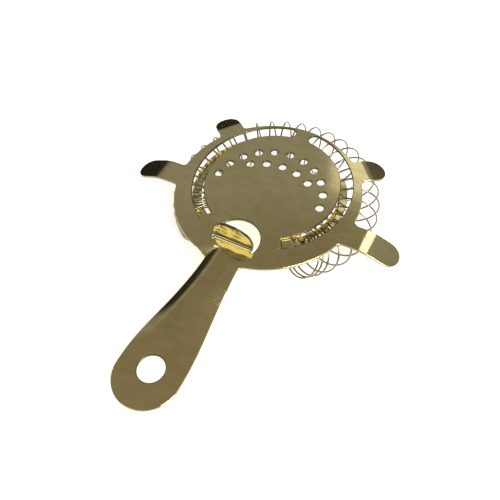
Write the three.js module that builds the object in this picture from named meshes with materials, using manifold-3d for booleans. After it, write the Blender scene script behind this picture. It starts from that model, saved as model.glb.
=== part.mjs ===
// Hawthorne strainer: one stamped sheet plate and one coil spring held on two tongues.
// Millimetres, +Z up. Origin at the centre of the disc on its top face, handle along -Y.
import * as THREE from "three";
import { mergeVertices } from "three/addons/utils/BufferGeometryUtils.js";
import Module from "manifold-3d";

const wasm = await Module();
wasm.setup();

// ---- driving dimensions ----
const SHEET = 1.0;
const DISC_RADIUS = 40;
const DISC_SEGMENTS = 144;

const STRAINING_HOLE_RADIUS = 1.75;
const OUTER_HOLES = { count: 11, radius: 24.1, centreY: -1.4, pitchDeg: 17.1 };
const INNER_HOLES = { count: 5, radius: 25.4, centreY: -10.4, pitchDeg: 16.6 };

const SLOT = { centreY: 4.4, inner: 29.4, outer: 34.5, startDeg: -57, frontGap: 3.5 };

// Tongues, as [degrees round the slot, millimetres]. The left one is bent down closer to its root,
// and both are set slightly to the left.
const TONGUE = {
  tipDeg: 39,
  rightDepth: [[-57.4, 0], [-53.2, 1.7], [-44.5, 2.0], [-37.5, 3.2], [-20, 3.9], [0, 4.6], [39, 5.4]],
  leftDepth: [[-57.4, 0], [-53.4, 3.0], [-44.5, 3.0], [-20, 3.3], [0, 3.6], [39, 4.4]],
  rightInner: [[-57, 29.75], [-50, 29.1], [-44.5, 28.8], [39, 28.9]],
  leftInner: [[-57, 29.75], [-50, 30.4], [-44.5, 30.8], [39, 30.9]],
  rightOuter: [[-57, 34.2], [-50, 33.8], [-44.5, 33.4], [0, 32.8], [30, 32.4], [39, 32.0]],
  leftOuter: [[-57, 34.2], [-44.5, 34.8], [0, 34.6], [30, 34.2], [39, 33.8]],
};

const TAB = {
  centreY: -28,
  radius: 10,
  hingeY: -31.6,
  length: 12,
  bendRadius: 1.6,
  uprightDeg: 86,
  tipLeanDeg: 104,
  sideGap: 1.0,
};

const HANDLE = {
  startY: -33,
  rootHalfWidth: 7.7,
  headHalfWidth: 12.8,
  headCentreY: -92.2,
  edgeBand: 4.8,
  leftEdge: { drop: 2.3, start: 33.7, slant: 0.6, steepness: 2.2 },
  rightEdge: { drop: 1.2, start: 37, slant: 0, steepness: 0.35 },
  hangHoleY: -89.7,
  hangHoleRadius: 5.15,
};

const SIDE_PRONG = {
  angleDeg: 0, offset: -7.2, root: 36, fold: 48, bend: 9, tip: 62.4, width: 11, drop: 22,
};
const FRONT_PRONG = {
  angleDeg: 39.5, offset: 0, root: 36, fold: 44.2, bend: 3, tip: 52.8, width: 11.6, drop: 18,
};

const SPRING = {
  wireRadius: 0.4,
  coilHalfHeight: 9.0,
  coilHalfWidth: 10.4,
  topZ: -1.75,
  turns: 34,
  stepsPerTurn: 12,
  firstPhaseDeg: 90,
  closePitchDeg: 2.7,
  rightEnd: { angleDeg: -44, leanDeg: 36, openingTurns: 3 },
  leftEnd: { angleDeg: 231, leanDeg: 12, openingTurns: 6 },
  leaningTurns: 8,
};

const rad = THREE.MathUtils.degToRad;

// ---- helpers ----
function smooth(t) {
  const c = Math.min(Math.max(t, 0), 1);
  return c * c * (3 - 2 * c);
}

function mix(a, b, t) {
  return a + (b - a) * t;
}

// Value at a place between stations, level at each of them.
function eased(stations, at) {
  const next = stations.findIndex(([place]) => place > at);
  if (next === 0) {
    return stations[0][1];
  }
  if (next < 0) {
    return stations[stations.length - 1][1];
  }
  const [from, to] = [stations[next - 1], stations[next]];
  return mix(from[1], to[1], smooth((at - from[0]) / (to[0] - from[0])));
}

function toManifold(geometry) {
  const clean = geometry.clone();
  clean.deleteAttribute("normal");
  clean.deleteAttribute("uv");
  const merged = mergeVertices(clean, 1e-4);
  return new wasm.Manifold(new wasm.Mesh({
    numProp: 3,
    vertProperties: new Float32Array(merged.attributes.position.array),
    triVerts: new Uint32Array(merged.index.array),
  }));
}

function toGeometry(solid) {
  const mesh = solid.getMesh();
  const geometry = new THREE.BufferGeometry();
  geometry.setAttribute("position", new THREE.BufferAttribute(mesh.vertProperties, 3));
  geometry.setIndex(new THREE.BufferAttribute(mesh.triVerts, 1));
  geometry.computeVertexNormals();
  return geometry;
}

// Closed slab between two matching grids of points, top and bottom.
function slab(top, bottom) {
  const rows = top.length;
  const columns = top[0].length;
  const points = [];
  const faces = [];
  for (const grid of [top, bottom]) {
    for (const row of grid) {
      for (const point of row) {
        points.push(...point);
      }
    }
  }
  const half = rows * columns;
  const at = (side, i, j) => side * half + i * columns + j;
  const quad = (a, b, c, d) => faces.push(a, b, c, a, c, d);
  for (let i = 0; i < rows - 1; i += 1) {
    for (let j = 0; j < columns - 1; j += 1) {
      quad(at(0, i, j), at(0, i, j + 1), at(0, i + 1, j + 1), at(0, i + 1, j));
      quad(at(1, i, j), at(1, i + 1, j), at(1, i + 1, j + 1), at(1, i, j + 1));
    }
    quad(at(0, i, 0), at(0, i + 1, 0), at(1, i + 1, 0), at(1, i, 0));
    const last = columns - 1;
    quad(at(0, i + 1, last), at(0, i, last), at(1, i, last), at(1, i + 1, last));
  }
  for (let j = 0; j < columns - 1; j += 1) {
    quad(at(0, 0, j + 1), at(0, 0, j), at(1, 0, j), at(1, 0, j + 1));
    const end = rows - 1;
    quad(at(0, end, j), at(0, end, j + 1), at(1, end, j + 1), at(1, end, j));
  }
  const geometry = new THREE.BufferGeometry();
  geometry.setAttribute("position", new THREE.Float32BufferAttribute(points, 3));
  geometry.setIndex(faces);
  const solid = toManifold(geometry);
  if (solid.volume() > 0) {
    return solid;
  }
  // A mirrored grid comes out inside out, so its faces are turned round.
  const turned = [];
  for (let i = 0; i < faces.length; i += 3) {
    turned.push(faces[i], faces[i + 2], faces[i + 1]);
  }
  geometry.setIndex(turned);
  return toManifold(geometry);
}

// Sheet bent about lines across its length: the profile runs through (along, height) points.
function bentStrip(profile, halfWidthAt, place) {
  const top = [];
  const bottom = [];
  profile.forEach(({ along, height, slope, run }) => {
    const half = halfWidthAt(run);
    const under = [along + Math.sin(slope) * SHEET, height - Math.cos(slope) * SHEET];
    top.push([half, -half].map((side) => place(along, side, height)));
    bottom.push([half, -half].map((side) => place(under[0], side, under[1])));
  });
  return slab(top, bottom);
}

// Walks a bent profile whose slope in radians is a function of the length already run.
function walkProfile(start, length, steps, slopeAt) {
  const profile = [];
  let along = start;
  let height = 0;
  const step = length / steps;
  for (let i = 0; i <= steps; i += 1) {
    const run = i * step;
    profile.push({ along, height, slope: slopeAt(run), run });
    const middle = slopeAt(run + step / 2);
    along += Math.cos(middle) * step;
    height += Math.sin(middle) * step;
  }
  return profile;
}

function circlePath(x, y, radius, segments) {
  const path = new THREE.Path();
  for (let i = 0; i < segments; i += 1) {
    const angle = (2 * Math.PI * i) / segments;
    const point = [x + radius * Math.cos(angle), y + radius * Math.sin(angle)];
    if (i === 0) {
      path.moveTo(...point);
    } else {
      path.lineTo(...point);
    }
  }
  path.closePath();
  return path;
}

function pathThrough(points) {
  const path = new THREE.Path(points.map(([x, y]) => new THREE.Vector2(x, y)));
  path.closePath();
  return path;
}

function polar(radius, angle, centreY) {
  return [radius * Math.cos(angle), centreY + radius * Math.sin(angle)];
}

// ---- flat disc with its openings ----
function strainingHoles(row) {
  const paths = [];
  for (let i = 0; i < row.count; i += 1) {
    const angle = rad(90 + (i - (row.count - 1) / 2) * row.pitchDeg);
    const [x, y] = polar(row.radius, angle, row.centreY);
    paths.push(circlePath(x, y, STRAINING_HOLE_RADIUS, 18));
  }
  return paths;
}

function slotPath(side) {
  const middle = (SLOT.inner + SLOT.outer) / 2;
  const round = (SLOT.outer - SLOT.inner) / 2;
  const start = rad(SLOT.startDeg);
  const end = Math.PI / 2 - Math.asin((SLOT.frontGap + round) / middle);
  const points = [];
  const steps = 40;
  for (let i = 0; i <= steps; i += 1) {
    points.push(polar(SLOT.outer, mix(start, end, i / steps), SLOT.centreY));
  }
  const [endX, endY] = polar(middle, end, SLOT.centreY);
  for (let i = 1; i < 8; i += 1) {
    const angle = end + (Math.PI * i) / 8;
    points.push([endX + round * Math.cos(angle), endY + round * Math.sin(angle)]);
  }
  for (let i = steps; i >= 0; i -= 1) {
    points.push(polar(SLOT.inner, mix(start, end, i / steps), SLOT.centreY));
  }
  return pathThrough(points.map(([x, y]) => [side * x, y]));
}

function tabOpening() {
  const rise = Math.asin((TAB.hingeY - TAB.centreY) / TAB.radius);
  const points = [];
  for (let i = 0; i <= 36; i += 1) {
    points.push(polar(TAB.radius, mix(rise, Math.PI - rise, i / 36), TAB.centreY));
  }
  return pathThrough(points);
}

function flatDisc() {
  const chord = Math.asin((HANDLE.startY - 0.4) / DISC_RADIUS);
  const outline = [];
  for (let i = 0; i <= DISC_SEGMENTS; i += 1) {
    const angle = mix(chord, Math.PI - chord, i / DISC_SEGMENTS);
    outline.push(new THREE.Vector2(...polar(DISC_RADIUS, angle, 0)));
  }
  const shape = new THREE.Shape(outline);
  shape.holes.push(...strainingHoles(OUTER_HOLES), ...strainingHoles(INNER_HOLES));
  shape.holes.push(slotPath(1), slotPath(-1), tabOpening());
  const disc = new THREE.ExtrudeGeometry(shape, { depth: SHEET, bevelEnabled: false });
  disc.translate(0, 0, -SHEET);
  return toManifold(disc);
}

// ---- handle with its edges turned down ----
function handleHalfWidth(y) {
  const taper = mix(HANDLE.rootHalfWidth, HANDLE.headHalfWidth, smooth((-y - 40) / 50));
  const beyond = Math.max(0, HANDLE.headCentreY - y);
  return Math.min(taper, Math.sqrt(Math.max(0, HANDLE.headHalfWidth ** 2 - beyond ** 2)));
}

function rimHalfWidth(y) {
  return Math.sqrt(Math.max(0, DISC_RADIUS ** 2 - y ** 2));
}

// Outline of disc and handle together, with a small fillet in the corner between them.
function outlineHalfWidth(y) {
  const a = handleHalfWidth(y);
  const b = rimHalfWidth(y);
  return (a + b + Math.sqrt((a - b) ** 2 + 3)) / 2;
}

// Depth of the turned-down edges. On the left the fold also runs out across the disc's rim, as a
// short steep wall; on the right it starts gently along the handle.
function handleHeight(x, y) {
  const { drop, start, slant, steepness } = x < 0 ? HANDLE.leftEdge : HANDLE.rightEdge;
  const depth = drop * (1 - smooth((-y - 58) / 30));
  const inHandle = Math.abs(x) - (handleHalfWidth(y) - HANDLE.edgeBand);
  const offRoot = (-y - start - slant * Math.max(0, Math.abs(x) - 6.5)) * steepness;
  const distance = Math.min(inHandle, offRoot) / HANDLE.edgeBand;
  if (distance <= 0) {
    return 0;
  }
  const t = Math.min(distance, 1.15);
  return (-depth * 1.35 * t * t) / (t + 0.35);
}

function handleRows() {
  const rows = [];
  for (let i = 0; i <= 16; i += 1) {
    rows.push(mix(HANDLE.startY, -43, i / 16));
  }
  for (let i = 1; i <= 18; i += 1) {
    rows.push(mix(-43, HANDLE.headCentreY, i / 18));
  }
  const steps = 14;
  for (let i = 1; i < steps; i += 1) {
    rows.push(HANDLE.headCentreY - HANDLE.headHalfWidth * Math.sin((Math.PI / 2) * (i / steps)));
  }
  return rows;
}

function handle() {
  const top = [];
  const bottom = [];
  for (const y of handleRows()) {
    const outer = y > -45 ? outlineHalfWidth(y) : handleHalfWidth(y);
    const edge = Math.min(handleHalfWidth(y), outer * 0.999);
    const inner = Math.max(edge - HANDLE.edgeBand, edge * 0.4);
    const stations = [outer, mix(outer, edge, 0.35), mix(outer, edge, 0.7), edge];
    for (let j = 1; j <= 5; j += 1) {
      stations.push(mix(edge, inner, j / 5));
    }
    stations.push(inner / 2);
    const xs = [...stations, 0, ...stations.slice().reverse().map((x) => -x)];
    top.push(xs.map((x) => [x, y, handleHeight(x, y)]));
    bottom.push(xs.map((x) => [x, y, handleHeight(x, y) - SHEET]));
  }
  const bore = new THREE.CylinderGeometry(HANDLE.hangHoleRadius, HANDLE.hangHoleRadius, 10, 36);
  bore.rotateX(Math.PI / 2);
  bore.translate(0, HANDLE.hangHoleY, 0);
  return slab(top, bottom).subtract(toManifold(bore));
}

// ---- prongs that rest on the rim of a shaker tin ----
function prong({ angleDeg, offset, root, fold, bend, tip, width, drop }, side) {
  const length = tip - root;
  const slopeAt = (run) => -rad(drop) * smooth((run - (fold - root)) / bend + 0.5);
  const profile = walkProfile(root, length, 30, slopeAt);
  const roundLength = width * 0.62;
  const halfWidth = (run) => {
    const t = Math.max(0, (run - (length - roundLength)) / roundLength);
    return (width / 2) * Math.max(0.12, Math.sqrt(Math.max(0, 1 - t ** 2.4)));
  };
  const angle = rad(angleDeg);
  const place = (along, across, height) => [
    side * (along * Math.cos(angle) - across * Math.sin(angle)),
    along * Math.sin(angle) + across * Math.cos(angle) + offset,
    height,
  ];
  return bentStrip(profile, halfWidth, place);
}

// ---- tongues that carry the spring ----
function tongue(side) {
  const depth = side > 0 ? TONGUE.rightDepth : TONGUE.leftDepth;
  const inner = side > 0 ? TONGUE.rightInner : TONGUE.leftInner;
  const outer = side > 0 ? TONGUE.rightOuter : TONGUE.leftOuter;
  const top = [];
  const bottom = [];
  const steps = 52;
  for (let i = 0; i <= steps; i += 1) {
    const degrees = mix(SLOT.startDeg - 1.2, TONGUE.tipDeg, (i / steps) ** 1.25);
    const z = -eased(depth, degrees);
    const pair = [eased(outer, degrees), eased(inner, degrees)].map((radius) => {
      const [x, y] = polar(radius, rad(degrees), SLOT.centreY);
      return [side * x, y];
    });
    top.push(pair.map(([x, y]) => [x, y, z]));
    bottom.push(pair.map(([x, y]) => [x, y, z - SHEET]));
  }
  return slab(top, bottom);
}

// ---- upright finger tab ----
function fingerTab() {
  const bendLength = TAB.bendRadius * rad(TAB.uprightDeg);
  const curl = (run) => smooth((run - bendLength) / (TAB.length - bendLength));
  const slopeAt = (run) => (run < bendLength
    ? run / TAB.bendRadius
    : rad(mix(TAB.uprightDeg, TAB.tipLeanDeg, curl(run))));
  const profile = walkProfile(TAB.hingeY, TAB.length, 24, slopeAt);
  const flatHeight = TAB.centreY + TAB.radius - TAB.hingeY;
  const halfWidth = (run) => {
    const y = TAB.hingeY - TAB.centreY + (run * flatHeight * 0.97) / TAB.length;
    return Math.sqrt(TAB.radius ** 2 - y ** 2) - TAB.sideGap;
  };
  const place = (along, across, height) => [-across, along, height];
  const strip = bentStrip(profile, halfWidth, place);
  const rootProfile = walkProfile(TAB.hingeY - 1.5, 1.6, 1, () => 0);
  return strip.add(bentStrip(rootProfile, () => halfWidth(0), place));
}

// ---- coil spring wound round a horseshoe, its turns held slightly oval by the tongues ----
class HorseshoeCoil extends THREE.Curve {
  constructor() {
    super();
    this.table = this.pitchTable();
  }

  // Even steps of turn rather than of length, so every turn has its highest and lowest point.
  getUtoTmapping(u) {
    return u;
  }

  openness(turn) {
    const right = smooth((turn - 1.5) / SPRING.rightEnd.openingTurns);
    const left = smooth((SPRING.turns - turn - 1.5) / SPRING.leftEnd.openingTurns);
    return Math.min(right, left);
  }

  // Angle reached after each small part of a turn, close-wound at both ends.
  pitchTable() {
    const samples = 2000;
    const total = SPRING.leftEnd.angleDeg - SPRING.rightEnd.angleDeg;
    const step = SPRING.turns / samples;
    let opened = 0;
    for (let i = 0; i < samples; i += 1) {
      opened += this.openness((i + 0.5) * step) * step;
    }
    const extra = (total - SPRING.closePitchDeg * SPRING.turns) / opened;
    const table = [SPRING.rightEnd.angleDeg];
    for (let i = 0; i < samples; i += 1) {
      const pitch = SPRING.closePitchDeg + extra * this.openness((i + 0.5) * step);
      table.push(table[i] + pitch * step);
    }
    return table;
  }

  angleAt(t) {
    const place = t * (this.table.length - 1);
    const index = Math.min(Math.floor(place), this.table.length - 2);
    return rad(mix(this.table[index], this.table[index + 1], place - index));
  }

  // The end turns lean over, top towards the front, because they hang on the sloping tongues.
  leanAt(turn) {
    const right = 1 - smooth((turn - 1) / SPRING.leaningTurns);
    const left = 1 - smooth((SPRING.turns - turn - 1) / SPRING.leaningTurns);
    return rad(SPRING.rightEnd.leanDeg * right - SPRING.leftEnd.leanDeg * left);
  }

  getPoint(t, target = new THREE.Vector3()) {
    const around = this.angleAt(t);
    const turn = SPRING.turns * t;
    const phase = 2 * Math.PI * turn + rad(SPRING.firstPhaseDeg);
    const lean = this.leanAt(turn);
    const front = Math.sin(around);
    const axis = 35.4 + 2.4 * front - 1.6 * front * front;
    const across = SPRING.coilHalfWidth * Math.cos(phase);
    const upward = SPRING.coilHalfHeight * Math.sin(phase);
    const along = upward * Math.sin(lean);
    const x = (axis + across) * Math.cos(around) - along * Math.sin(around);
    const y = (axis + across) * Math.sin(around) + along * Math.cos(around);
    const centreZ = SPRING.topZ - SPRING.coilHalfHeight * Math.cos(lean);
    return target.set(x, y + SLOT.centreY, centreZ + upward * Math.cos(lean));
  }
}

function coilSpring() {
  const section = new THREE.Shape();
  for (let i = 0; i < 6; i += 1) {
    const angle = (Math.PI * i) / 3;
    const point = [SPRING.wireRadius * Math.cos(angle), SPRING.wireRadius * Math.sin(angle)];
    if (i === 0) {
      section.moveTo(...point);
    } else {
      section.lineTo(...point);
    }
  }
  const geometry = new THREE.ExtrudeGeometry(section, {
    steps: SPRING.turns * SPRING.stepsPerTurn,
    extrudePath: new HorseshoeCoil(),
    bevelEnabled: false,
  });
  return toManifold(geometry);
}

// ---- assembly ----
function strainerPlate() {
  let plate = flatDisc().add(handle());
  for (const side of [1, -1]) {
    plate = plate.add(prong(SIDE_PRONG, side));
    plate = plate.add(prong(FRONT_PRONG, side));
    plate = plate.add(tongue(side));
  }
  return plate.add(fingerTab());
}

function node(name, solid, colour, roughness) {
  const material = new THREE.MeshStandardMaterial({ color: colour, roughness, metalness: 1 });
  material.name = `${name}_metal`;
  const mesh = new THREE.Mesh(toGeometry(solid), material);
  mesh.name = name;
  return mesh;
}

const strainer = new THREE.Group();
strainer.name = "hawthorne_strainer";
strainer.add(node("strainer_plate", strainerPlate(), 0xc9a54e, 0.22));
strainer.add(node("coil_spring", coilSpring(), 0xb9a06a, 0.3));

export default strainer;
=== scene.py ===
"""Looks of the hawthorne strainer: one bent and polished sheet plate and its round-wire spring.

Lengths inside the modelling functions are millimetres; meshes are written in metres.
"""

import math

import bpy
import numpy as np
from mathutils import Matrix, Vector, kdtree
from mathutils.geometry import delaunay_2d_cdt


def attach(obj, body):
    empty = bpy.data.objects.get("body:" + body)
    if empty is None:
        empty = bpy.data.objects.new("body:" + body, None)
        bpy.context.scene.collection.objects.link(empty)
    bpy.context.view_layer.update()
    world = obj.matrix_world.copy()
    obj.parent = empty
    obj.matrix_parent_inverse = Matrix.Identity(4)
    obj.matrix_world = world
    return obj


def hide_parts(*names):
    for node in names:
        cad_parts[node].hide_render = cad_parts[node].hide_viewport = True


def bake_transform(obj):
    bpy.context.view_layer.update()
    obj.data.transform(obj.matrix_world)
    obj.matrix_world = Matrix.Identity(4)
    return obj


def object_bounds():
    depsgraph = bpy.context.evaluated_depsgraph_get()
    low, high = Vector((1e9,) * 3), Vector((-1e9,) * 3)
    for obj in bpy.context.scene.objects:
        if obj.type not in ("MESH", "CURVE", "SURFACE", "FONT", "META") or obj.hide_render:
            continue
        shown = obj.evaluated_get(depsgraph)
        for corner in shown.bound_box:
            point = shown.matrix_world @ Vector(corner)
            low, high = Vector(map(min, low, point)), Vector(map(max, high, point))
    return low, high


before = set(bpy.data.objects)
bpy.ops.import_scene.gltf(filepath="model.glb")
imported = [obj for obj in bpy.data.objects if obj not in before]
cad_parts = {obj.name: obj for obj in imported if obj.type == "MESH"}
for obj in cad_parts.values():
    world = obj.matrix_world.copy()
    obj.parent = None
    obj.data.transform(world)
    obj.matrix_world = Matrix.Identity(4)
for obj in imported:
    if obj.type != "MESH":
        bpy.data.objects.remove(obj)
cad_box = [list(corner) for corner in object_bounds()]

MM = 0.001

# ---- dimensions, as in the solid model ----
# The left handle edge, the right tongue's root and the tab's waves are finished a little differently here.
SHEET = 1.0
DISC_RADIUS = 40.0
HOLE_RADIUS = 1.75
OUTER_HOLES = dict(count=11, radius=24.1, centre_y=-1.4, pitch=17.1)
INNER_HOLES = dict(count=5, radius=25.4, centre_y=-10.4, pitch=16.6)
SLOT = dict(centre_y=4.4, inner=29.4, outer=34.5, start=-57.0, front_gap=3.5)
TONGUE_TIP = 39.0
FLAT_TONGUE = (29.75, 34.2)
TONGUE_DEPTH = {
    1: [
        (-57.4, 0), (-55.7, 1.2), (-49.5, 1.3), (-44.5, 2.0), (-37.5, 3.2),
        (-20, 3.9), (0, 4.6), (39, 5.4),
    ],
    -1: [(-57.4, 0), (-53.4, 3.0), (-44.5, 3.0), (-20, 3.3), (0, 3.6), (39, 4.4)],
}
TONGUE_INNER = {
    1: [(-57, 29.6), (-54, 28.8), (-44.5, 28.8), (39, 28.9)],
    -1: [(-57, 29.75), (-50, 30.4), (-44.5, 30.8), (39, 30.9)],
}
TONGUE_OUTER = {
    1: [(-57, 34.2), (-50, 33.8), (-44.5, 33.4), (0, 32.8), (30, 32.4), (39, 32.0)],
    -1: [(-57, 34.2), (-44.5, 34.8), (0, 34.6), (30, 34.2), (39, 33.8)],
}
TAB = dict(centre_y=-28.0, radius=10.0, hinge_y=-31.6, length=12.0, side_gap=1.0)
TAB_BEND = dict(radius=1.6, upright=86.0, tip_lean=104.0, band_deg=4.2, band_length=4.6)
TAB_WAVE = dict(depth=0.11, across=0.5, up=0.8)
HANDLE = dict(
    root_half=7.7, head_half=12.8, head_y=-92.2, band=4.8, hole_y=-89.7, hole_radius=5.15
)
HANDLE_EDGE = {
    -1: dict(drop=1.7, start=33.7, slant=0.6, steepness=1.8),
    1: dict(drop=1.2, start=37.0, slant=0.0, steepness=0.35),
}
EDGE_FADE = dict(start=58.0, length=30.0)
EDGE_ROLL = dict(scale=1.35, softness=0.35, limit=1.15, corner=6.5)
SIDE_PRONG = dict(angle=0.0, offset=-7.2, fold=48.0, bend=9.0, tip=62.4, width=11.0, drop=22.0)
FRONT_PRONG = dict(angle=39.5, offset=0.0, fold=44.2, bend=3.0, tip=52.8, width=11.6, drop=18.0)
PRONG_ROOT = 36.0
PRONG_TIP_ROUND = 0.62
PRONG_TIP_POWER = 2.4
SPRING = dict(
    wire=0.385, half_height=9.0, half_width=10.4, top_z=-1.75,
    turns=34, first_phase=90.0, close_pitch=2.7, close_turns=1.5, leaning=8.0,
)
SPRING_AXIS = dict(radius=35.4, front=2.4, front_squared=-1.6)
WIRE_END = dict(inner=0.6, length=0.35)
RIGHT_END = dict(angle=-44.0, lean=36.0, opening=3.0)
LEFT_END = dict(angle=231.0, lean=12.0, opening=6.0)

# ---- finish of the cut edges, and how finely the sheet is meshed ----
ROUND_WIDTH = 0.30
ROUND_DEPTH = 0.24
RING_STEPS = (0.0, 0.02, 0.065, 0.13, 0.21, 0.30)
CORNER_REACH = 1.7
EDGE_SPACING = 0.45
FACE_SPACING = 2.2
HANDLE_SPACING = (0.8, 1.0)
NORMAL_STEP = 0.05
CLEAR_OF_INSET_RING = 0.42
CLEAR_OF_EDGE = 0.60
SAME_PLACE = 0.2


def smooth(t):
    """From 0 to 1 as t does, level at both ends."""
    c = min(max(t, 0.0), 1.0)
    return c * c * (3 - 2 * c)


def mix(a, b, t):
    return a + (b - a) * t


def polar(radius, degrees, centre_y=0.0):
    a = math.radians(degrees)
    return (radius * math.cos(a), centre_y + radius * math.sin(a))


def eased(stations, at):
    """Value at a place between stations, level at each of them."""
    if at <= stations[0][0]:
        return stations[0][1]
    for (a, low), (b, high) in zip(stations, stations[1:]):
        if at <= b:
            return mix(low, high, smooth((at - a) / (b - a)))
    return stations[-1][1]


# ---- closed outlines of the flat pattern ----
def resample(points, spacing):
    """Even spacing along a closed line of points."""
    p = np.array(points, float)
    p = np.vstack([p, p[:1]])
    lengths = np.hypot(*np.diff(p, axis=0).T)
    keep = np.concatenate([lengths > 1e-7, [True]])
    p = p[keep]
    along = np.concatenate([[0], np.cumsum(np.hypot(*np.diff(p, axis=0).T))])
    count = max(12, int(round(along[-1] / spacing)))
    at = np.linspace(0, along[-1], count, endpoint=False)
    return np.stack([np.interp(at, along, p[:, k]) for k in (0, 1)], 1)


def soften(points, corners, reach):
    """Replaces the line near each corner by a curve that starts and ends reach away from it."""
    p = np.array(points, float)
    for corner in corners:
        corner = np.array(corner)
        away = np.hypot(*(p - corner).T)
        near = np.flatnonzero(away < reach)
        if not len(near):
            continue
        n = len(p)
        first = int(near[0])
        if first == 0 and int(near[-1]) == n - 1:
            p = np.roll(p, n // 2, axis=0)
            away = np.hypot(*(p - corner).T)
            near = np.flatnonzero(away < reach)
            first = int(near[0])
        last = int(near[-1])
        start = p[(first - 1) % n]
        end = p[(last + 1) % n]
        t = np.linspace(0, 1, 12)[1:-1, None]
        curve = (1 - t) ** 2 * start + 2 * t * (1 - t) * corner + t**2 * end
        p = np.vstack([p[:first], curve, p[last + 1 :]])
    return p


def signed_area(p):
    x, y = p[:, 0], p[:, 1]
    return 0.5 * float(np.sum(x * np.roll(y, -1) - y * np.roll(x, -1)))


def prong_outline(prong, side):
    """Points round a prong in the flat pattern, from one root corner to the other."""
    length = prong["tip"] - PRONG_ROOT
    round_length = prong["width"] * PRONG_TIP_ROUND
    half = prong["width"] / 2
    straight = int((length - round_length - 1) / 0.4)
    along = [(PRONG_ROOT + 1.0 + 0.4 * i, half) for i in range(straight)]
    for i in range(31):
        a = math.radians(90 - 3 * i)
        t = math.cos(a) ** (2 / PRONG_TIP_POWER) if math.cos(a) > 0 else 0.0
        along.append((prong["tip"] - round_length + round_length * t, half * math.sin(a)))
    line = along + [(u, -v) for u, v in reversed(along[:-1])]
    angle = math.radians(prong["angle"])
    placed = []
    for u, v in line:
        x = u * math.cos(angle) - v * math.sin(angle)
        y = u * math.sin(angle) + v * math.cos(angle) + prong["offset"]
        placed.append((side * x, y))
    return placed if side < 0 else placed[::-1]


def handle_half(y):
    """Half the handle's width: tapered to the disc, round at the end."""
    taper = mix(HANDLE["root_half"], HANDLE["head_half"], smooth((-y - 40) / 50))
    beyond = max(0.0, HANDLE["head_y"] - y)
    return min(taper, math.sqrt(max(0.0, HANDLE["head_half"] ** 2 - beyond**2)))


def outer_outline():
    """Disc, prongs and handle as one closed line, counter-clockwise."""
    blades = []
    for side in (1, -1):
        blades += [prong_outline(SIDE_PRONG, side), prong_outline(FRONT_PRONG, side)]
    spans = []
    corners = []
    for line in blades:
        outside = [p for p in line if math.hypot(*p) > DISC_RADIUS]
        angles = [math.degrees(math.atan2(p[1], p[0])) % 360 for p in (outside[0], outside[-1])]
        start, end = angles
        if (end - start) % 360 > 180:
            outside = outside[::-1]
            start, end = end, start
        spans.append((start % 360, end % 360, outside))
        corners += [polar(DISC_RADIUS, start), polar(DISC_RADIUS, end)]
    y = -38.0
    while math.hypot(handle_half(y), y) < DISC_RADIUS:
        y -= 0.01
    root = (handle_half(y), y)
    corners += [root, (-root[0], root[1])]
    left = [(-handle_half(v), v) for v in np.arange(y, HANDLE["head_y"], -0.5)]
    head = [
        (-HANDLE["head_half"] * math.cos(a), HANDLE["head_y"] - HANDLE["head_half"] * math.sin(a))
        for a in np.linspace(0, math.pi, 90)
    ]
    right = [(-x, v) for x, v in reversed(left)]
    handle_line = left + head + right
    start = math.degrees(math.atan2(y, -root[0])) % 360
    end = math.degrees(math.atan2(y, root[0])) % 360
    spans.append((start, end, handle_line))
    spans.sort(key=lambda s: s[0])
    points = []
    for i, (start, end, line) in enumerate(spans):
        points += line
        following = spans[(i + 1) % len(spans)][0]
        gap = (following - end) % 360
        steps = max(2, int(gap / 0.6))
        points += [polar(DISC_RADIUS, end + gap * k / steps) for k in range(1, steps)]
    return resample(soften(resample(points, 0.25), corners, CORNER_REACH), EDGE_SPACING)


def circle(x, y, radius):
    count = max(28, int(2 * math.pi * radius / EDGE_SPACING))
    return np.array([(x + radius * math.cos(a), y + radius * math.sin(a))
                     for a in np.linspace(0, 2 * math.pi, count, endpoint=False)])


def straining_holes(row):
    lines = []
    for i in range(row["count"]):
        degrees = 90 + (i - (row["count"] - 1) / 2) * row["pitch"]
        lines.append(circle(*polar(row["radius"], degrees, row["centre_y"]), HOLE_RADIUS))
    return lines


def slot_outline(side):
    """Slot with its tongue left standing from the lower end, as one closed line."""
    cy = SLOT["centre_y"]
    start = SLOT["start"]
    middle = (SLOT["inner"] + SLOT["outer"]) / 2
    end_round = (SLOT["outer"] - SLOT["inner"]) / 2
    end = 90 - math.degrees(math.asin((SLOT["front_gap"] + end_round) / middle))
    points = [polar(SLOT["outer"], a, cy) for a in np.linspace(start, end, 160)]
    ex, ey = polar(middle, end, cy)
    for k in range(1, 24):
        a = math.radians(end + 180 * k / 24)
        points.append((ex + end_round * math.cos(a), ey + end_round * math.sin(a)))
    points += [polar(SLOT["inner"], a, cy) for a in np.linspace(end, start, 150)]
    inner, outer = FLAT_TONGUE
    points += [polar(inner, a, cy) for a in np.linspace(start, TONGUE_TIP - 0.5, 150)]
    points += [polar(outer, a, cy) for a in np.linspace(TONGUE_TIP - 0.5, start, 150)]
    line = resample(points, EDGE_SPACING * 0.8)
    return line * np.array([side, 1.0])


def tab_half(run):
    """Half the tab's width, at a length run from its hinge."""
    flat_height = TAB["centre_y"] + TAB["radius"] - TAB["hinge_y"]
    y = TAB["hinge_y"] - TAB["centre_y"] + run * flat_height * 0.97 / TAB["length"]
    return math.sqrt(max(0.0, TAB["radius"] ** 2 - y * y)) - TAB["side_gap"]


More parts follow.
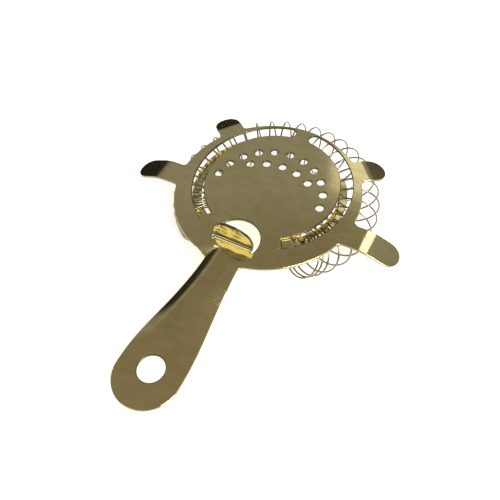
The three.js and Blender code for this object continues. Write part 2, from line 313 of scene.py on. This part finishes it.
def tab_outline():
    """D-shaped opening with the tab left standing from its straight side, as one closed line."""
    rise = math.degrees(math.asin((TAB["hinge_y"] - TAB["centre_y"]) / TAB["radius"]))
    points = [polar(TAB["radius"], a, TAB["centre_y"]) for a in np.linspace(rise, 180 - rise, 140)]
    runs = TAB["length"] * np.sin(np.linspace(0, math.pi / 2, 60))
    points += [(-tab_half(r), TAB["hinge_y"] + r) for r in runs]
    points += [(tab_half(r), TAB["hinge_y"] + r) for r in runs[::-1]]
    return resample(points, EDGE_SPACING * 0.6)


# ---- bending the flat pattern into shape ----
def walked(start, length, slope_at, steps=400):
    """Place and height along a bent profile, against the length already run."""
    runs = np.linspace(0, length, steps + 1)
    slopes = np.array([slope_at(r) for r in (runs[:-1] + runs[1:]) / 2])
    step = length / steps
    along = start + np.concatenate([[0], np.cumsum(np.cos(slopes) * step)])
    height = np.concatenate([[0], np.cumsum(np.sin(slopes) * step)])
    return runs, along, height


def prong_slope(prong):
    """Slope of a prong against the length run from its root: flat, then one soft fold."""
    fold = prong["fold"] - PRONG_ROOT
    return lambda run: -math.radians(prong["drop"]) * smooth((run - fold) / prong["bend"] + 0.5)


def tab_slope(run):
    """Bent up sharply at the root, then curling gently over towards the handle."""
    upright = math.radians(TAB_BEND["upright"])
    bend_length = TAB_BEND["radius"] * upright
    if run < bend_length:
        return run / TAB_BEND["radius"]
    beyond = run - bend_length
    curl = smooth(beyond / (TAB["length"] - bend_length))
    ripple = math.sin(2 * math.pi * beyond / TAB_BEND["band_length"])
    band = math.radians(TAB_BEND["band_deg"]) * ripple
    return mix(upright, math.radians(TAB_BEND["tip_lean"]), curl) + band


PROFILES = {
    "side": walked(PRONG_ROOT, SIDE_PRONG["tip"] - PRONG_ROOT + 1, prong_slope(SIDE_PRONG)),
    "front": walked(PRONG_ROOT, FRONT_PRONG["tip"] - PRONG_ROOT + 1, prong_slope(FRONT_PRONG)),
    "tab": walked(TAB["hinge_y"], TAB["length"] + 1, tab_slope),
}


def handle_height(x, y):
    """Turned-down edges: a short wall at the left root, a gentle start at the right one."""
    edge = HANDLE_EDGE[-1 if x < 0 else 1]
    depth = edge["drop"] * (1 - smooth((-y - EDGE_FADE["start"]) / EDGE_FADE["length"]))
    in_handle = abs(x) - (handle_half(y) - HANDLE["band"])
    past_corner = max(0.0, abs(x) - EDGE_ROLL["corner"])
    off_root = (-y - edge["start"] - edge["slant"] * past_corner) * edge["steepness"]
    t = min(min(in_handle, off_root) / HANDLE["band"], EDGE_ROLL["limit"])
    if t <= 0:
        return 0.0
    return -depth * EDGE_ROLL["scale"] * t * t / (t + EDGE_ROLL["softness"])


def front_local(x, y):
    """Place along and across the front prong on its own side."""
    a = math.radians(FRONT_PRONG["angle"])
    return (abs(x) * math.cos(a) + y * math.sin(a), -abs(x) * math.sin(a) + y * math.cos(a))


def from_front_local(u, v):
    """Place on the right-hand side of the strainer, from along and across the front prong."""
    a = math.radians(FRONT_PRONG["angle"])
    return (u * math.cos(a) - v * math.sin(a), u * math.sin(a) + v * math.cos(a))


def zone_of(x, y):
    """Which bend a point of the flat pattern belongs to."""
    if abs(x) > 44 and abs(y - SIDE_PRONG["offset"]) < 9:
        return "side"
    if math.hypot(x, y) > 41.5 and y > 10 and abs(front_local(x, y)[1]) < 8:
        return "front"
    if y < -32:
        return "handle"
    off = y - TAB["centre_y"]
    if y > TAB["hinge_y"] and x * x + off * off < (TAB["radius"] - 0.25) ** 2:
        return "tab"
    dy = y - SLOT["centre_y"]
    radius = math.hypot(x, dy)
    degrees = math.degrees(math.atan2(dy, abs(x)))
    if SLOT["start"] - 4 < degrees < TONGUE_TIP + 1:
        inner, outer = FLAT_TONGUE
        if (SLOT["inner"] + inner) / 2 < radius < (SLOT["outer"] + outer) / 2:
            return "tongue"
    return "flat"


def placed(zone, x, y):
    """Where a point of the flat pattern's top face ends up after bending."""
    if zone == "flat":
        return (x, y, 0.0)
    if zone == "handle":
        return (x, y, handle_height(x, y))
    if zone == "tongue":
        dy = y - SLOT["centre_y"]
        radius = math.hypot(x, dy)
        degrees = math.degrees(math.atan2(dy, abs(x)))
        side = 1 if x > 0 else -1
        inner, outer = FLAT_TONGUE
        part = (radius - inner) / (outer - inner)
        shifted = mix(eased(TONGUE_INNER[side], degrees), eased(TONGUE_OUTER[side], degrees), part)
        depth = eased(TONGUE_DEPTH[side], degrees)
        return (x * shifted / radius, SLOT["centre_y"] + dy * shifted / radius, -depth)
    if zone == "tab":
        runs, along, height = PROFILES["tab"]
        run = y - TAB["hinge_y"]
        swirl = math.sin(TAB_WAVE["across"] * x + 1.1) * math.sin(TAB_WAVE["up"] * run + 0.4 * x)
        wave = TAB_WAVE["depth"] * smooth((run - 2.5) / 3) * swirl
        return (x, float(np.interp(run, runs, along)) + wave, float(np.interp(run, runs, height)))
    runs, along, height = PROFILES[zone]
    sign = 1 if x > 0 else -1
    if zone == "side":
        run = abs(x) - PRONG_ROOT
        return (sign * float(np.interp(run, runs, along)), y, float(np.interp(run, runs, height)))
    u, v = front_local(x, y)
    run = u - PRONG_ROOT
    px, py = from_front_local(float(np.interp(run, runs, along)), v)
    return (sign * px, py, float(np.interp(run, runs, height)))


def bent_frame(x, y, zone):
    """Place on the top face, its outward normal, and the two directions of the flat pattern."""
    h = NORMAL_STEP
    p = np.array(placed(zone, x, y))
    dx = np.array(placed(zone, x + h, y)) - np.array(placed(zone, x - h, y))
    dy = np.array(placed(zone, x, y + h)) - np.array(placed(zone, x, y - h))
    dx /= np.linalg.norm(dx)
    dy /= np.linalg.norm(dy)
    n = np.cross(dx, dy)
    return p, n / np.linalg.norm(n), dx, dy


# ---- the plate mesh ----
def inward_normals(line, into_left):
    """Unit direction into the metal at each point of a closed line."""
    ahead = np.roll(line, -1, axis=0) - np.roll(line, 1, axis=0)
    ahead /= np.linalg.norm(ahead, axis=1)[:, None]
    left = np.stack([-ahead[:, 1], ahead[:, 0]], 1)
    for _ in range(2):
        left = np.roll(left, 1, axis=0) + 2 * left + np.roll(left, -1, axis=0)
        left /= np.linalg.norm(left, axis=1)[:, None]
    return left if into_left else -left


def has_own_grid(x, y):
    """Bent areas and the ones beside them have finer grids of their own."""
    beside_tab = abs(x) < 9.6 and -33.3 < y < -18.0
    left_root = -17.2 < x < -1.8 and -44.2 < y < -33.2
    return beside_tab or left_root or zone_of(x, y) not in ("flat", "handle")


def filling_points():
    """Points inside the outline: closer together where the sheet bends."""
    handle_start = -33.2
    coarse = [(x + 0.013 * y, y + 0.017 * x)
              for x in np.arange(-62, 62, FACE_SPACING)
              for y in np.arange(handle_start, 52, FACE_SPACING)]
    coarse += [(x, y + 0.011 * x)
               for x in np.arange(-25, 25.01, HANDLE_SPACING[0])
               for y in np.arange(-105, handle_start, HANDLE_SPACING[1])]
    points = [p for p in coarse if not has_own_grid(*p)]
    hinge_rows = [-33.1, -32.7, -32.3, -31.95]
    tab_rows = hinge_rows + list(np.arange(TAB["hinge_y"], -19.4, 0.3))
    points += [(x, y) for x in np.arange(-9.45, 9.5, 0.7) for y in tab_rows]
    points += [(x, y) for x in np.arange(-17, -2, 0.45) for y in np.arange(-44, -33.3, 0.35)]
    across = np.arange(-5, 5.1, 1.0)
    for side in (1, -1):
        for u in np.arange(41.4, 62, 0.5):
            for v in across:
                points.append((side * u, v + SIDE_PRONG["offset"]))
        for u in np.arange(42.0, 52.4, 0.4):
            for v in across:
                x, y = from_front_local(u, v)
                points.append((side * x, y))
        for degrees in np.arange(SLOT["start"] - 0.5, TONGUE_TIP, 0.5):
            for part in (0.2, 0.4, 0.6, 0.8):
                x, y = polar(mix(*FLAT_TONGUE, part), degrees, SLOT["centre_y"])
                points.append((side * x, y))
    return points


class FlatPattern:
    """Points of the flat sheet, with how far each lies inside its edge and which way the edge faces."""

    def __init__(self):
        self.points = []
        self.edge_out = []
        self.inset = []
        self.borders = []

    def add_border(self, line, is_outer):
        """Rings of points that follow one edge inwards, the first on the edge itself."""
        if signed_area(line) < 0:
            line = line[::-1]
        inward = inward_normals(line, is_outer)
        rings = []
        for distance in RING_STEPS:
            rings.append(list(range(len(self.points), len(self.points) + len(line))))
            self.points += [tuple(p) for p in line + inward * distance]
            self.edge_out += [tuple(-v) for v in inward]
            self.inset += [distance] * len(line)
        self.borders.append((rings, is_outer))

    def add_inner_point(self, x, y):
        self.points.append((x, y))
        self.edge_out.append((0.0, 0.0))
        self.inset.append(ROUND_WIDTH)
        return len(self.points) - 1

    def ring_tree(self, level):
        """Search tree of one ring of every border."""
        chosen = [i for rings, _ in self.borders for i in rings[level]]
        tree = kdtree.KDTree(len(chosen))
        for i in chosen:
            tree.insert((*self.points[i], 0), i)
        tree.balance()
        return tree


def cut_pattern():
    """The sheet's outline and all its openings."""
    pattern = FlatPattern()
    pattern.add_border(outer_outline(), True)
    openings = straining_holes(OUTER_HOLES) + straining_holes(INNER_HOLES)
    openings += [slot_outline(1), slot_outline(-1), tab_outline()]
    openings.append(circle(0.0, HANDLE["hole_y"], HANDLE["hole_radius"]))
    for line in openings:
        pattern.add_border(line, False)
    return pattern


def thinned_fill(pattern):
    """Filling points that are clear of the edges and of one another."""
    inset_tree = pattern.ring_tree(-1)
    edge_tree = pattern.ring_tree(0)
    kept = []
    taken = set()
    for x, y in filling_points():
        near_inset = inset_tree.find((x, y, 0))[2] < CLEAR_OF_INSET_RING
        if near_inset or edge_tree.find((x, y, 0))[2] < CLEAR_OF_EDGE:
            continue
        key = (round(x / SAME_PLACE), round(y / SAME_PLACE))
        if key not in taken:
            taken.add(key)
            kept.append((x, y))
    return kept


def triangles_of_face(pattern):
    """Triangles of the flat face, as points of the pattern, bounded by the innermost rings."""
    coords = []
    origin = []
    guard = []
    edges = []
    for rings, _ in pattern.borders:
        for level, is_guard in ((-1, False), (-2, True)):
            base = len(coords)
            ring = rings[level]
            coords += [Vector(pattern.points[i]) for i in ring]
            origin += ring
            guard += [is_guard] * len(ring)
            edges += [(base + k, base + (k + 1) % len(ring)) for k in range(len(ring))]
    for x, y in thinned_fill(pattern):
        coords.append(Vector((x, y)))
        origin.append(pattern.add_inner_point(x, y))
        guard.append(False)
    made, _, triangles, back, _, _ = delaunay_2d_cdt(coords, edges, [], 0, 1e-6, True)
    source = [b[0] if len(b) else -1 for b in back]
    faces = []
    for triangle in triangles:
        ids = [source[t] for t in triangle]
        if any(i < 0 or guard[i] for i in ids):
            continue
        a, b, c = (made[t] for t in triangle)
        if (b - a).cross(c - a) < 0:
            ids = ids[::-1]
        faces.append([origin[i] for i in ids])
    return on_the_metal(pattern, faces)


def on_the_metal(pattern, faces):
    """Drops triangles that fill an opening: a line from their centre crosses an even number of borders."""
    centres = np.array([np.mean([pattern.points[i] for i in f], axis=0) for f in faces])
    cx, cy = centres[:, 0:1], centres[:, 1:2]
    crossings = np.zeros(len(centres), int)
    for rings, _ in pattern.borders:
        border = np.array([pattern.points[i] for i in rings[-1]])
        ax, ay = border[:, 0], border[:, 1]
        bx, by = np.roll(ax, -1), np.roll(ay, -1)
        spans = (ay > cy) != (by > cy)
        with np.errstate(divide="ignore", invalid="ignore"):
            at = ax + (cy - ay) * (bx - ax) / (by - ay)
        crossings += np.sum(spans & (cx < at), axis=1)
    return [f for f, k in zip(faces, crossings) if k % 2 == 1]


def both_sides(pattern, used):
    """Places and normals of the bent sheet: all points of its top, then all of its underside."""
    total = len(used)
    verts = np.zeros((2 * total, 3))
    normals = np.zeros((2 * total, 3))
    for k, i in enumerate(used):
        x, y = pattern.points[i]
        p, n, dx, dy = bent_frame(x, y, zone_of(x, y))
        t = 1 - pattern.inset[i] / ROUND_WIDTH
        rise = math.sqrt(max(0.0, 1 - t * t))
        depth = ROUND_DEPTH * (1 - rise)
        verts[k] = p - n * depth
        verts[total + k] = p - n * (SHEET - depth)
        normals[k] = n
        normals[total + k] = -n
        if t > 0:
            # The edge round is a quarter of an ellipse.
            ox, oy = pattern.edge_out[i]
            out = dx * ox + dy * oy
            lean = t / ROUND_WIDTH
            stand = rise / ROUND_DEPTH
            size = math.hypot(lean, stand)
            normals[k] = (n * stand + out * lean) / size
            normals[total + k] = (-n * stand + out * lean) / size
    return verts, normals


def sheet_faces(pattern, top_faces, used):
    """Faces of both sides, the edge rounds and the walls, and which of them are cut edges."""
    number = {i: k for k, i in enumerate(used)}
    total = len(used)
    faces = []
    for f in top_faces:
        a, b, c = (number[i] for i in f)
        faces.append((a, b, c))
        faces.append((total + c, total + b, total + a))
    cut_edges = set()
    for rings, is_outer in pattern.borders:
        n = len(rings[0])
        for outer, inner in zip(rings, rings[1:]):
            for k in range(n):
                m = (k + 1) % n
                quad = [number[outer[k]], number[outer[m]], number[inner[m]], number[inner[k]]]
                if not is_outer:
                    quad = quad[::-1]
                    cut_edges.update((len(faces), len(faces) + 1))
                faces.append(tuple(quad))
                faces.append(tuple(total + q for q in reversed(quad)))
        for k in range(n):
            a, b = number[rings[0][k]], number[rings[0][(k + 1) % n]]
            quad = (a, total + a, total + b, b)
            cut_edges.add(len(faces))
            faces.append(quad if is_outer else quad[::-1])
    return faces, cut_edges


def plate_mesh():
    """The whole sheet: flat pattern, triangles, then bent into place with rounded edges."""
    pattern = cut_pattern()
    top_faces = triangles_of_face(pattern)
    in_faces = {i for f in top_faces for i in f}
    in_rings = {i for rings, _ in pattern.borders for ring in rings for i in ring}
    used = sorted(in_faces | in_rings)
    verts, normals = both_sides(pattern, used)
    faces, cut_edges = sheet_faces(pattern, top_faces, used)
    mesh = bpy.data.meshes.new("plate")
    mesh.from_pydata((verts * MM).tolist(), [], faces)
    mesh.validate()
    for polygon in mesh.polygons:
        polygon.use_smooth = True
        # Cut-edge faces take the second material, whose dark brown is mostly painted shade.
        polygon.material_index = 1 if polygon.index in cut_edges else 0
    mesh.normals_split_custom_set_from_vertices(normals.tolist())
    mesh.update()
    return mesh


# ---- the coil spring mesh ----
def ease_array(t):
    """The same curve as smooth, for an array."""
    c = np.clip(t, 0, 1)
    return c * c * (3 - 2 * c)


def spring_angles(samples=2000):
    """Angle round the horseshoe reached after each part of a turn; close-wound at both ends."""
    turns = SPRING["turns"]
    step = turns / samples
    at = (np.arange(samples) + 0.5) * step
    right = ease_array((at - SPRING["close_turns"]) / RIGHT_END["opening"])
    left = ease_array((turns - at - SPRING["close_turns"]) / LEFT_END["opening"])
    openness = np.minimum(right, left)
    total = LEFT_END["angle"] - RIGHT_END["angle"]
    extra = (total - SPRING["close_pitch"] * turns) / (openness.sum() * step)
    pitch = SPRING["close_pitch"] + extra * openness
    return RIGHT_END["angle"] + np.concatenate([[0], np.cumsum(pitch * step)])


def spring_line(t):
    """Centre line of the wire, and the centre of the turn that each point of it belongs to."""
    table = spring_angles()
    around = np.radians(np.interp(t, np.linspace(0, 1, len(table)), table))
    turn = SPRING["turns"] * t
    phase = 2 * math.pi * turn + math.radians(SPRING["first_phase"])
    right = RIGHT_END["lean"] * (1 - ease_array((turn - 1) / SPRING["leaning"]))
    left = LEFT_END["lean"] * (1 - ease_array((SPRING["turns"] - turn - 1) / SPRING["leaning"]))
    lean = np.radians(right - left)
    front = np.sin(around)
    wider = SPRING_AXIS["front"] * front + SPRING_AXIS["front_squared"] * front * front
    axis = SPRING_AXIS["radius"] + wider
    across = SPRING["half_width"] * np.cos(phase)
    upward = SPRING["half_height"] * np.sin(phase)
    along = upward * np.sin(lean)
    centre_z = SPRING["top_z"] - SPRING["half_height"] * np.cos(lean)
    cy = SLOT["centre_y"]
    x = (axis + across) * np.cos(around) - along * np.sin(around)
    y = (axis + across) * np.sin(around) + along * np.cos(around) + cy
    line = np.stack([x, y, centre_z + upward * np.cos(lean)], 1)
    core = np.stack([axis * np.cos(around), axis * np.sin(around) + cy, centre_z], 1)
    return line, core


def spring_mesh(steps_per_turn=48, sides=12):
    """Round wire swept along the coil, with chamfered ends."""
    count = SPRING["turns"] * steps_per_turn
    p, core = spring_line(np.linspace(0, 1, count + 1))
    ahead = np.gradient(p, axis=0)
    ahead /= np.linalg.norm(ahead, axis=1)[:, None]
    out = p - core
    out -= ahead * np.sum(out * ahead, axis=1)[:, None]
    out /= np.linalg.norm(out, axis=1)[:, None]
    side = np.cross(ahead, out)
    verts = []
    faces = []
    radius = SPRING["wire"]
    for i in range(count + 1):
        for k in range(sides):
            a = 2 * math.pi * k / sides
            verts.append(p[i] + radius * (math.cos(a) * out[i] + math.sin(a) * side[i]))
    for i in range(count):
        for k in range(sides):
            m = (k + 1) % sides
            faces.append((i * sides + k, i * sides + m, (i + 1) * sides + m, (i + 1) * sides + k))
    for ring, direction, last in ((0, -1, False), (count, 1, True)):
        base = len(verts)
        for k in range(sides):
            a = 2 * math.pi * k / sides
            spoke = math.cos(a) * out[ring] + math.sin(a) * side[ring]
            edge = p[ring] + WIRE_END["inner"] * radius * spoke
            verts.append(edge + direction * WIRE_END["length"] * radius * ahead[ring])
        for k in range(sides):
            m = (k + 1) % sides
            quad = (ring * sides + k, base + k, base + m, ring * sides + m)
            faces.append(quad if not last else quad[::-1])
        cap = tuple(base + k for k in range(sides))
        faces.append(cap if last else cap[::-1])
    mesh = bpy.data.meshes.new("spring")
    mesh.from_pydata((np.array(verts) * MM).tolist(), [], faces)
    mesh.validate()
    for polygon in mesh.polygons:
        polygon.use_smooth = True
    mesh.update()
    return mesh


# ---- materials ----
class Nodes:
    """Short way to add and join shader nodes."""

    def __init__(self, name):
        self.material = bpy.data.materials.new(name)
        self.material.use_nodes = True
        self.tree = self.material.node_tree
        self.shader = self.tree.nodes["Principled BSDF"]

    def add(self, kind, inputs=None, **settings):
        node = self.tree.nodes.new(kind)
        for key, value in settings.items():
            setattr(node, key, value)
        for key, value in (inputs or {}).items():
            if hasattr(value, "is_linked"):
                self.tree.links.new(value, node.inputs[key])
            else:
                node.inputs[key].default_value = value
        return node

    def maths(self, operation, a, b=0.0, c=0.0):
        return self.add("ShaderNodeMath", {0: a, 1: b, 2: c}, operation=operation).outputs[0]

    def noise(self, vector, scale, detail=2.0, roughness=0.5):
        inputs = {"Vector": vector, "Scale": scale, "Detail": detail, "Roughness": roughness}
        return self.add("ShaderNodeTexNoise", inputs).outputs[0]

    def spread(self, value, low, high, to_low, to_high):
        inputs = {0: value, 1: low, 2: high, 3: to_low, 4: to_high}
        return self.add("ShaderNodeMapRange", inputs).outputs[0]

    def scaled(self, vector, scale, turn=(0.0, 0.0, 0.0)):
        inputs = {"Vector": vector, "Scale": scale, "Rotation": turn}
        return self.add("ShaderNodeMapping", inputs).outputs[0]


def plated_steel(name, colour, worn, roughness, scratch_strength, ripple_strength):
    """Gold-tone plating over polished steel: soft ripples, fine scratches, slight uneven tone."""
    n = Nodes(name)
    place = n.add("ShaderNodeTexCoord").outputs["Object"]
    tone = n.noise(place, 45.0, 4.0, 0.6)
    blotch = n.noise(place, 160.0, 5.0, 0.65)
    streak = n.noise(n.scaled(place, (0.22, 1.0, 1.0), (0.0, 0.0, -0.95)), 330.0, 5.0, 0.6)
    uneven = n.maths("ADD", n.maths("ADD", tone, blotch), streak)
    colour_mix = n.add(
        "ShaderNodeMix",
        {"Factor": n.spread(uneven, 1.2, 1.85, 0.0, 1.0), "A": colour, "B": worn},
        data_type="RGBA",
    )
    n.tree.links.new(colour_mix.outputs["Result"], n.shader.inputs["Base Color"])

    scratches = None
    for turn, scale, cut in ((0.35, 420.0, 0.70), (-0.8, 520.0, 0.715), (1.45, 380.0, 0.70)):
        stretched = n.scaled(place, (0.06, 1.0, 1.0), (0.0, 0.0, turn))
        line = n.spread(n.noise(stretched, scale * 4, 2.0, 0.4), cut, cut + 0.05, 0.0, 1.0)
        scratches = line if scratches is None else n.maths("MAXIMUM", scratches, line)
    grain = n.noise(n.scaled(place, (0.05, 1.0, 1.0), (0.0, 0.0, math.pi / 2)), 5200.0, 3.0, 0.6)
    smear = n.noise(place, 70.0, 5.0, 0.62)

    rough = n.spread(smear, 0.35, 0.7, roughness * 0.75, roughness * 1.35)
    rough = n.maths("ADD", rough, n.maths("MULTIPLY", scratches, 0.10))
    rough = n.maths("ADD", rough, n.spread(grain, 0.3, 0.7, -0.02, 0.03))
    n.tree.links.new(rough, n.shader.inputs["Roughness"])

    ripple = n.noise(place, 38.0, 1.5, 0.4)
    height = n.maths("MULTIPLY", scratches, -scratch_strength)
    height = n.maths("ADD", height, n.maths("MULTIPLY", grain, scratch_strength * 0.35))
    fine = n.add("ShaderNodeBump", {"Strength": 1.0, "Distance": 0.00001, "Height": height})
    soft = n.add(
        "ShaderNodeBump",
        {"Strength": 1.0, "Distance": ripple_strength, "Height": ripple,
         "Normal": fine.outputs[0]},
    )
    n.tree.links.new(soft.outputs[0], n.shader.inputs["Normal"])
    n.shader.inputs["Metallic"].default_value = 1.0
    return n.material


def plate_metal():
    return plated_steel(
        "gold_tone_plate", (0.87, 0.745, 0.37, 1), (0.72, 0.60, 0.28, 1),
        roughness=0.10, scratch_strength=0.5, ripple_strength=0.00006,
    )


def cut_edge_painted_shade_metal():
    # Cut edges: a rougher stamped edge, coloured dark brown mostly as painted shade, so every opening and
    # the outline get dark rims.
    return plated_steel(
        "gold_tone_cut_edge_painted_shade", (0.20, 0.165, 0.085, 1), (0.12, 0.10, 0.055, 1),
        roughness=0.30, scratch_strength=0.5, ripple_strength=0.00001,
    )


def wire_metal_painted_shade():
    # The wire's duller gold tone is darkened further as painted shade, so it does not shine with the pale
    # floor's light.
    return plated_steel(
        "gold_tone_wire_painted_shade", (0.34, 0.305, 0.21, 1), (0.26, 0.235, 0.16, 1),
        roughness=0.20, scratch_strength=0.5, ripple_strength=0.00001,
    )


def shown(name, mesh, *materials):
    obj = bpy.data.objects.new(name, mesh)
    for material in materials:
        obj.data.materials.append(material)
    bpy.context.scene.collection.objects.link(obj)
    return obj


plate = shown("strainer_plate_looks", plate_mesh(), plate_metal(), cut_edge_painted_shade_metal())
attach(plate, "plate")
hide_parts("strainer_plate")

spring = shown("coil_spring_looks", spring_mesh(), wire_metal_painted_shade())
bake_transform(spring)
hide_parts("coil_spring")


# ---- studio ----
def pale_floor():
    """Plain floor just under the spring; it glows a little, so that shadows stay faint."""
    height = cad_box[0][2] - 0.00001
    bpy.ops.mesh.primitive_plane_add(size=3, location=(0, 0, height))
    floor = bpy.context.object
    floor.name = "floor"
    n = Nodes("pale_floor")
    n.shader.inputs["Base Color"].default_value = (0.85, 0.85, 0.85, 1)
    n.shader.inputs["Roughness"].default_value = 0.9
    n.shader.inputs["Emission Color"].default_value = (1, 1, 1, 1)
    n.shader.inputs["Emission Strength"].default_value = 0.65
    floor.data.materials.append(n.material)


def panel(name, direction, distance, size, power, colour=(1, 1, 1)):
    """Soft box that faces the middle of the strainer from a direction and a distance."""
    data = bpy.data.lights.new(name, "AREA")
    data.shape = "RECTANGLE"
    data.size, data.size_y = size
    data.energy = power
    data.color = colour
    obj = bpy.data.objects.new(name, data)
    away = Vector(direction).normalized()
    obj.location = away * distance + Vector((0, -0.03, 0))
    obj.rotation_mode = "QUATERNION"
    obj.rotation_quaternion = away.to_track_quat("Z", "Y")
    bpy.context.scene.collection.objects.link(obj)


def soft_boxes():
    panel("key_right", (0.62, -0.25, 0.74), 0.9, (0.42, 0.42), 7.5)
    panel("softbox_over_tab", (-0.33, -0.42, 0.845), 0.95, (0.36, 0.36), 0.43, (0.93, 1.0, 0.88))
    panel("strip_far_right", (0.2, 0.60, 0.77), 1.1, (0.36, 0.2), 0.42)
    panel("glow_far", (-0.15, 0.69, 0.71), 1.1, (0.14, 0.1), 0.03)


HIGH_DOME = (
    (0.45, (0.17, 0.165, 0.155)),
    (0.55, (0.24, 0.235, 0.225)),
    (0.70, (0.285, 0.29, 0.305)),
    (0.76, (0.265, 0.262, 0.255)),
    (0.82, (0.215, 0.193, 0.163)),
    (0.90, (0.25, 0.224, 0.195)),
)
DARK_HORIZON = (
    (0.0, (0.012, 0.012, 0.011)),
    (0.22, (0.02, 0.019, 0.018)),
    (0.38, (0.04, 0.038, 0.035)),
)
PALE_HORIZON = (
    (0.0, (0.62, 0.62, 0.6076)),
    (0.1, (0.5, 0.5, 0.49)),
    (0.2, (0.27, 0.27, 0.2646)),
    (0.3, (0.1, 0.1, 0.098)),
    (0.39, (0.06, 0.06, 0.0588)),
)


def studio_dome():
    """Graded dome by height, with a dark screen low down on the far left."""
    world = bpy.data.worlds.new("studio")
    bpy.context.scene.world = world
    world.use_nodes = True
    tree = world.node_tree
    background = tree.nodes["Background"]
    place = tree.nodes.new("ShaderNodeTexCoord")
    parts = tree.nodes.new("ShaderNodeSeparateXYZ")
    tree.links.new(place.outputs["Generated"], parts.inputs[0])

    def graded(levels):
        ramp = tree.nodes.new("ShaderNodeValToRGB")
        tree.links.new(parts.outputs["Z"], ramp.inputs[0])
        elements = ramp.color_ramp.elements
        elements[0].position = levels[0][0]
        elements[1].position = levels[-1][0]
        for position, _ in levels[1:-1]:
            elements.new(position)
        for element, (_, colour) in zip(elements, levels):
            element.color = (*colour, 1)
        return ramp.outputs[0]

    towards = tree.nodes.new("ShaderNodeVectorMath")
    towards.operation = "DOT_PRODUCT"
    towards.inputs[1].default_value = (-0.80, 0.60, 0.0)
    tree.links.new(place.outputs["Generated"], towards.inputs[0])
    screen = tree.nodes.new("ShaderNodeMapRange")
    screen.inputs["From Min"].default_value = 0.74
    screen.inputs["From Max"].default_value = 0.9
    tree.links.new(towards.outputs["Value"], screen.inputs["Value"])
    both = tree.nodes.new("ShaderNodeMix")
    both.data_type = "RGBA"
    tree.links.new(screen.outputs["Result"], both.inputs["Factor"])
    tree.links.new(graded(PALE_HORIZON + HIGH_DOME), both.inputs["A"])
    tree.links.new(graded(DARK_HORIZON + HIGH_DOME), both.inputs["B"])
    tree.links.new(both.outputs["Result"], background.inputs["Color"])


def main_camera():
    """Camera over the handle's right side, looking down on the disc."""
    azimuth, elevation, roll = 0.589, 0.955, -0.125
    target = Vector((0.00784, -0.03036, 0.0))
    distance = 0.22176
    back = Vector((
        math.sin(azimuth) * math.cos(elevation),
        -math.cos(azimuth) * math.cos(elevation),
        math.sin(elevation),
    ))
    right = Vector((math.cos(azimuth), math.sin(azimuth), 0.0))
    up = back.cross(right)
    across = math.cos(roll) * right + math.sin(roll) * up
    above = -math.sin(roll) * right + math.cos(roll) * up
    data = bpy.data.cameras.new("camera")
    data.sensor_width = 36.0
    data.lens = 40.42
    data.clip_start = 0.01
    data.clip_end = 20
    camera = bpy.data.objects.new("camera", data)
    bpy.context.scene.collection.objects.link(camera)
    bpy.context.scene.camera = camera
    place = target + back * distance
    camera.matrix_world = Matrix(
        ((across.x, above.x, back.x, place.x),
         (across.y, above.y, back.y, place.y),
         (across.z, above.z, back.z, place.z),
         (0, 0, 0, 1))
    )


pale_floor()
soft_boxes()
studio_dome()
main_camera()

scene = bpy.context.scene
scene.view_settings.view_transform = "Standard"
scene.view_settings.look = "None"
scene.view_settings.exposure = 0.0
